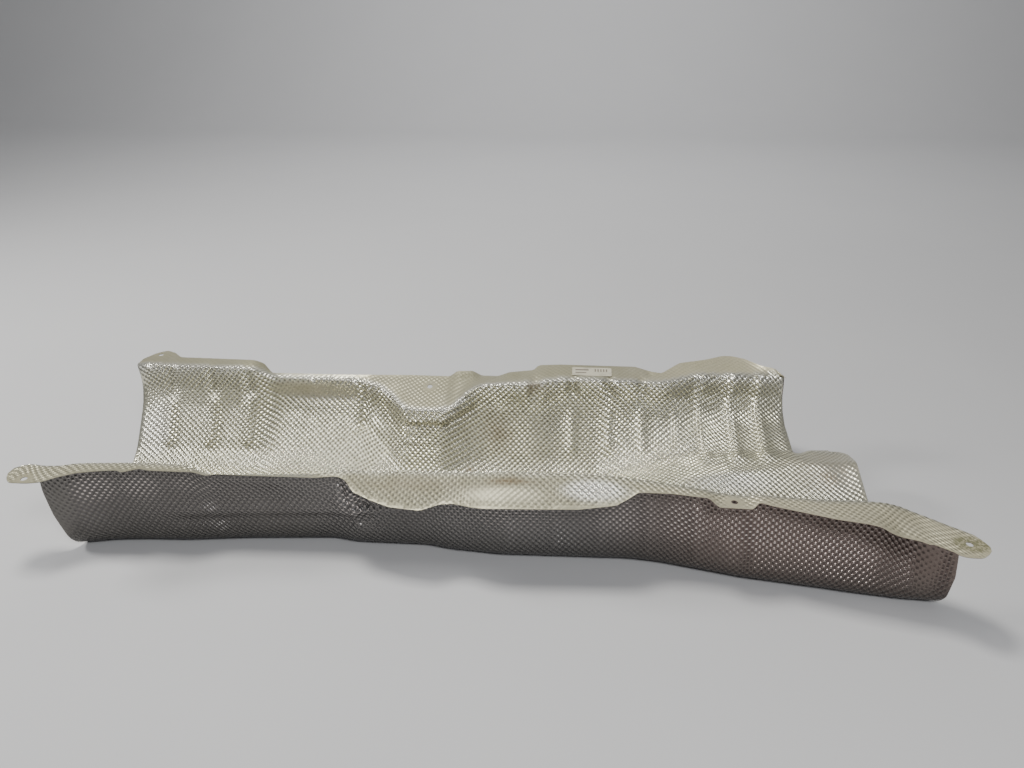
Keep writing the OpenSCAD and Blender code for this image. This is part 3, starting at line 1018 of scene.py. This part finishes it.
class Paint:
    """A material's node tree, with one way to add any node."""

    def __init__(self, name: str) -> None:
        """Starts a material with only its shader and its output."""
        self.material = bpy.data.materials.new(name)
        self.material.use_nodes = True
        self.tree = self.material.node_tree
        self.shader = next(n for n in self.tree.nodes if n.type == "BSDF_PRINCIPLED")

    def add(self, kind: str, settings: dict[str, Any] | None = None,
            output: int | str = 0, **values: Any) -> Signal:
        """Adds a node.

        Args:
            kind: The node's type, without its ShaderNode prefix.
            settings: Its own settings, set first.
            output: Which output to return.
            **values: Input names, with _ for a space, and their values or links.

        Returns:
            The chosen output.
        """
        node = self.tree.nodes.new("ShaderNode" + kind)
        for key, value in (settings or {}).items():
            setattr(node, key, value)
        self.fill(node, values)
        return Signal(self.tree, node.outputs[output])

    def fill(self, node: bpy.types.Node, values: dict[str, Any]) -> None:
        """Sets a node's inputs, by names with _ for a space."""
        for key, value in values.items():
            feed(self.tree, node.inputs[key.replace("_", " ")], value)

    def split(self, vector: Signal) -> list[Signal]:
        """The three parts of a vector."""
        node = self.tree.nodes.new("ShaderNodeSeparateXYZ")
        feed(self.tree, node.inputs[0], vector)
        return [Signal(self.tree, socket) for socket in node.outputs]

    def layers(self, colour: Any, *over: tuple[Signal, Any]) -> Any:
        """A colour with others laid over it in turn, each by its share."""
        for share, tint in over:
            colour = self.blend(share, colour, tint)
        return colour

    def mark(self, name: str) -> Signal:
        """One of the mesh's named numbers."""
        return self.add("Attribute", {"attribute_name": name}, "Fac")

    def noise(self, scale: float, detail: float, rough: float = 0.55,
              stretch: Point = (1, 1, 1)) -> Signal:
        """Noise on the object's own coordinates, with its scale in steps a metre."""
        place = self.add("TexCoord", output="Object")
        moved = self.add("Mapping", Vector=place, Scale=stretch)
        return self.add("TexNoise", {"noise_dimensions": "3D"}, "Fac", Vector=moved,
                        Scale=scale, Detail=detail, Roughness=rough)

    def blend(self, share: Signal | float, first: Any, second: Any) -> Signal:
        """A colour between two, by share."""
        node = self.tree.nodes.new("ShaderNodeMix")
        node.data_type = "RGBA"
        for name, value in (("Factor_Float", share), ("A_Color", first), ("B_Color", second)):
            slot = next(s for s in node.inputs if s.identifier == name)
            feed(self.tree, slot, value)
        return Signal(self.tree, next(s for s in node.outputs if s.identifier == "Result_Color"))

    def finish(self, **values: Any) -> bpy.types.Material:
        """Sets the shader's inputs and gives the material."""
        self.fill(self.shader, values)
        return self.material


def rgb(red: float, green: float, blue: float) -> Colour:
    """A colour in linear light with full alpha."""
    return (red, green, blue, 1.0)


@dataclass(frozen=True)
class EmbossedAluminium:
    """Dull aluminium with an embossed diamond pattern, dirt and scratches.

    Attributes:
        bright: Clean metal.
        peak_highlight: Near white laid on the bosses' tops as a painted highlight.
        warm: Metal under a thin film of road dirt.
        dirt_and_shade: Near black, for the painted shade between the bosses and for the specks of
            dirt.
        outside: The outer skin, made dark grey as painted shade.
        rust: The brown stains.
        moss: The greenish dirt.
        highlight_white: The near white of the painted highlights.
        cream: The dull film on the flanges.
        sand: The same at the shield's right end.
        pink: The outer skin near its right end.
        outer_glint: Pale colour on the outer skin's bosses, as painted glints.
        middle_light: Lighter grey laid on the outer skin in the middle of its length, as painted
            light.
        foot: Near black, as painted shade along the outer skin's foot and left end.
        depth: Height of a boss in the bump, in metres.
    """

    bright: Colour = rgb(0.78, 0.762, 0.63)
    peak_highlight: Colour = rgb(0.98, 0.96, 0.84)
    warm: Colour = rgb(0.60, 0.575, 0.42)
    dirt_and_shade: Colour = rgb(0.12, 0.115, 0.085)
    outside: Colour = rgb(0.135, 0.123, 0.126)
    rust: Colour = rgb(0.19, 0.13, 0.065)
    moss: Colour = rgb(0.17, 0.165, 0.09)
    highlight_white: Colour = rgb(0.98, 0.97, 0.90)
    cream: Colour = rgb(0.385, 0.362, 0.25)
    sand: Colour = rgb(0.62, 0.572, 0.40)
    pink: Colour = rgb(0.152, 0.104, 0.098)
    outer_glint: Colour = rgb(0.90, 0.79, 0.75)
    middle_light: Colour = rgb(0.21, 0.20, 0.205)
    foot: Colour = rgb(0.03, 0.03, 0.034)
    depth: float = 0.0016

    def material(self) -> bpy.types.Material:
        """Makes the material.

        The relief is the product of two cosines of the lattice's coordinates.
        Its valleys are darkened as painted shade, its peaks are lightened as a
        painted highlight, and patches, stains and scratches lie over it.  The
        outer skin is dark as painted shade, with painted glints on its bosses.

        Returns:
            The material.
        """
        paint = Paint("embossed_aluminium")
        u, v, _ = paint.split(paint.add("UVMap", {"uv_map": "pattern"}))
        wave = (u * math.pi).math("COSINE") * (v * math.pi).math("COSINE")
        boss = wave * paint.mark("relief")
        peak = boss.step(0.05, 0.95)
        valley = (boss * -1.0).step(-0.1, 0.9)
        patches, blotches = paint.noise(9.0, 4), paint.noise(46.0, 4)
        speckle, grain = paint.noise(420.0, 2), paint.noise(1500.0, 2)
        outer = paint.mark("outer").step(0.45, 0.55)
        film = (patches.step(0.38, 0.68) * 0.55 + blotches.step(0.45, 0.75) * 0.35)
        x, _, z = paint.split(paint.add("TexCoord", output="Object"))
        painted_highlight = paint.mark("painted_highlight")
        flange = paint.mark("flange") * (1.0 - painted_highlight)
        cream = paint.blend(x.step(0.12, 0.30), self.cream, self.sand)
        stain = paint.mark("brown") * (speckle.step(0.3, 0.62) * 0.7 + blotches * 0.5)
        green = paint.mark("green") * (speckle.step(0.36, 0.64) * 0.6 + blotches * 0.4)
        specks = speckle.step(0.66, 0.74) * 0.35
        colour = paint.layers(
            # Painted highlight: the tops of the bosses are lightened.
            self.bright, (film, self.warm), (boss.step(0.35, 0.95) * 0.6, self.peak_highlight),
            (flange * (0.7 + 0.4 * blotches), cream),
            # Painted highlight: the upper fold and the listed spots are made near white.
            (painted_highlight * (0.6 + 0.4 * blotches), self.highlight_white),
            # Painted shade: the valleys between the bosses are darkened, unevenly through the
            # blotches.
            (valley * (0.68 + 0.32 * blotches.step(0.3, 0.8)), self.dirt_and_shade),
            (stain, self.rust), (green, self.moss), (specks, self.dirt_and_shade))
        # Painted light: the outer skin is lighter in the middle of its length.
        middle = x.step(-0.26, -0.10) * (1.0 - x.step(0.05, 0.25)) * 0.6
        # Painted highlights: the outer skin's boss tops are lightened, strongly in the glint
        # patches.
        sparkle = paint.mark("sparkle") * z.step(0.02, 0.06) * blotches.step(0.2, 0.5)
        outer_glint = peak * 0.10 + boss.step(0.3, 0.8) * sparkle * 0.9
        # Painted shade: the outer skin darkens toward its foot and at its left end.
        shade = ((1.0 - z.step(0.0, 0.06)) * 0.62).math(
            "MAXIMUM", (1.0 - x.step(-0.505, -0.452)) * 0.5)
        # The outer skin: dark grey as painted shade, with the painted light, tint, glints and
        # shade below laid over it.
        under = paint.layers(self.outside, (middle, self.middle_light),
                             (x.step(0.10, 0.30), self.pink), (outer_glint, self.outer_glint),
                             (shade, self.foot))
        colour = paint.blend(outer * 0.9, colour, under)
        scratch = paint.noise(70.0, 2, 0.5, (0.25, 3.0, 3.0)).step(0.70, 0.73)
        dirt = (stain + green + specks).math("MINIMUM", 1.0)
        dull = flange * (1.0 - outer)
        rough = (0.19 + valley * 0.16 + film * 0.12 + dirt * 0.30 + dull * 0.16
                 + grain * 0.06)
        metal = (0.93 - dirt * 0.6 - film * 0.18 - valley * 0.2 - outer * 0.15 - dull * 0.35)
        height = boss * 0.5 + blotches * 0.03 - scratch * 0.05
        normal = paint.add("Bump", Height=height, Strength=1.0, Distance=self.depth)
        return paint.finish(Base_Color=colour, Metallic=metal, Roughness=rough, Normal=normal)


@dataclass(frozen=True)
class LabelPaper:
    """Yellowed paper with a few faded bars, generic and without lettering.

    Attributes:
        paper: The paper.
        ink: The faded dark bars.
        wash: The greenish stains.
    """

    paper: Colour = rgb(0.58, 0.55, 0.43)
    ink: Colour = rgb(0.10, 0.07, 0.06)
    wash: Colour = rgb(0.17, 0.17, 0.13)

    @staticmethod
    def bar(u: Signal, v: Signal, box: tuple[float, float, float, float]) -> Signal:
        """1 inside a box of the label's own coordinates, with soft edges."""
        left, right, low, high = box
        soft = 0.012
        return (u.step(left - soft, left + soft) * (1.0 - u.step(right - soft, right + soft))
                * v.step(low - soft, low + soft) * (1.0 - v.step(high - soft, high + soft)))

    def material(self) -> bpy.types.Material:
        """Makes the material: bars in the label's own coordinates, worn by noise."""
        paint = Paint("label_paper")
        u, v, _ = paint.split(paint.add("UVMap", {"uv_map": "pattern"}))
        fibres, stains = paint.noise(1800.0, 3), paint.noise(70.0, 4)
        dark = self.bar(u, v, (0.08, 0.42, 0.62, 0.78)) + self.bar(u, v, (0.08, 0.36, 0.30, 0.42))
        stripes = (u * 88.0).math("SINE").step(-0.1, 0.3) * self.bar(u, v, (0.55, 0.92, 0.5, 0.84))
        worn = 0.55 + 0.45 * fibres
        colour = paint.layers(self.paper, (stains.step(0.4, 0.75) * 0.45, self.wash),
                              (dark * worn, self.ink), (stripes * worn, self.ink))
        normal = paint.add("Bump", Height=fibres, Strength=0.35, Distance=0.0002)
        return paint.finish(Base_Color=colour, Roughness=0.55 + stains * 0.25, Normal=normal,
                            Metallic=0.0)


@dataclass(frozen=True)
class Studio:
    """The floor, the soft lights and the camera.

    Attributes:
        eye: The camera's place in metres.
        turn: The camera's rotation in degrees.
        lens: Its focal length in mm, for a sensor 36 mm wide.
    """

    eye: Point = (0.0888, -0.8127, 0.584)
    turn: Point = (63.4, 0.0, 4.0)
    lens: float = 27.04

    def floor(self) -> None:
        """A plain pale floor that turns up into a backdrop, swept along X.

        Its profile is flat, then a quarter circle, then upright.
        """
        bend = np.linspace(0, math.pi / 2, 24)
        radius, far = 1.2, 3.0
        y = np.concatenate([[-4.0, 0.0], far + radius * np.sin(bend), [far + radius]])
        z = np.concatenate([[0.0, 0.0], radius * (1 - np.cos(bend)), [4.0]])
        x = np.array([-6.0, 6.0])
        grid = np.stack([np.repeat(x[:, None], len(y), 1), np.tile(y, (2, 1)),
                         np.tile(z, (2, 1))], -1)
        ids = np.arange(grid[..., 0].size).reshape(2, -1)
        quads = np.stack([ids[0, :-1], ids[1, :-1], ids[1, 1:], ids[0, 1:]], 1)
        mesh = bpy.data.meshes.new("floor")
        mesh.from_pydata(grid.reshape(-1, 3).tolist(), [], quads.tolist())
        mesh.shade_smooth()
        floor = linked("floor", mesh)
        paint = Paint("floor_paint")
        tone = paint.blend(paint.noise(3.0, 2), rgb(0.60, 0.60, 0.61), rgb(0.63, 0.63, 0.635))
        mesh.materials.append(paint.finish(Base_Color=tone, Roughness=0.8))

    @staticmethod
    def lamp(name: str, place: Point, aim: Point, size: float, power: float,
             tint: Point) -> None:
        """Adds a square soft light.

        Args:
            name: The light's name.
            place: Where it stands in metres.
            aim: The point that it faces.
            size: Its side in metres.
            power: Its power in watts.
            tint: Its colour.
        """
        light = bpy.data.lights.new(name, "AREA")
        light.size, light.energy, light.color = size, power, tint
        lamp = linked(name, light)
        way = np.array(aim) - np.array(place)
        flat = math.hypot(way[0], way[1])
        lamp.rotation_euler = (math.atan2(flat, -way[2]), 0, math.atan2(-way[0], way[1]))
        lamp.location = place

    def build(self) -> None:
        """Makes the floor, the lights, the pale surroundings and the camera."""
        self.floor()
        self.lamp("overhead", (-0.42, 0.12, 1.95), (0, 0.05, 0), 0.42, 25.5, (1.0, 0.98, 0.93))
        self.lamp("left_window", (-1.9, 0.2, 1.2), (-0.3, 0.05, 0), 0.4, 21, (1.0, 0.99, 0.97))
        self.lamp("front_high", (0.6, -1.5, 1.8), (0, 0, 0), 0.6, 22, (0.97, 0.98, 1.0))
        self.lamp("backdrop_wash", (0, 1.6, 2.6), (0, 4.2, 1.2), 1.5, 60, (1.0, 1.0, 1.0))
        world = bpy.data.worlds.new("surroundings")
        world.use_nodes = True
        sky = next(n for n in world.node_tree.nodes if n.type == "BACKGROUND")
        sky.inputs["Color"].default_value = rgb(0.80, 0.81, 0.83)
        sky.inputs["Strength"].default_value = 0.20
        bpy.context.scene.world = world
        camera = bpy.data.cameras.new("camera")
        camera.lens, camera.sensor_width, camera.sensor_fit = self.lens, 36.0, "HORIZONTAL"
        camera.clip_start = 0.05
        eye = linked("camera", camera)
        eye.location = self.eye
        eye.rotation_euler = tuple(math.radians(a) for a in self.turn)
        bpy.context.scene.camera = eye


def main() -> None:
    """Builds the stage, the sheet and the label, and says what each piece is."""
    logging.basicConfig(level=logging.INFO, format="%(name)s: %(message)s")
    Studio().build()
    sheet = EmbossedSheet().build()
    sheet.data.materials.append(EmbossedAluminium().material())
    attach(sheet, "root")
    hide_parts("heat_shield")
    label = PaperLabel().build()
    label.data.materials.append(LabelPaper().material())
    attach(label, "root")
    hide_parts("paper_label")
    for piece in (sheet, label):
        LOG.info("%s: %d vertices, %d triangles", piece.name, len(piece.data.vertices),
                 len(piece.data.polygons))


if __name__ == "__main__":
    main()
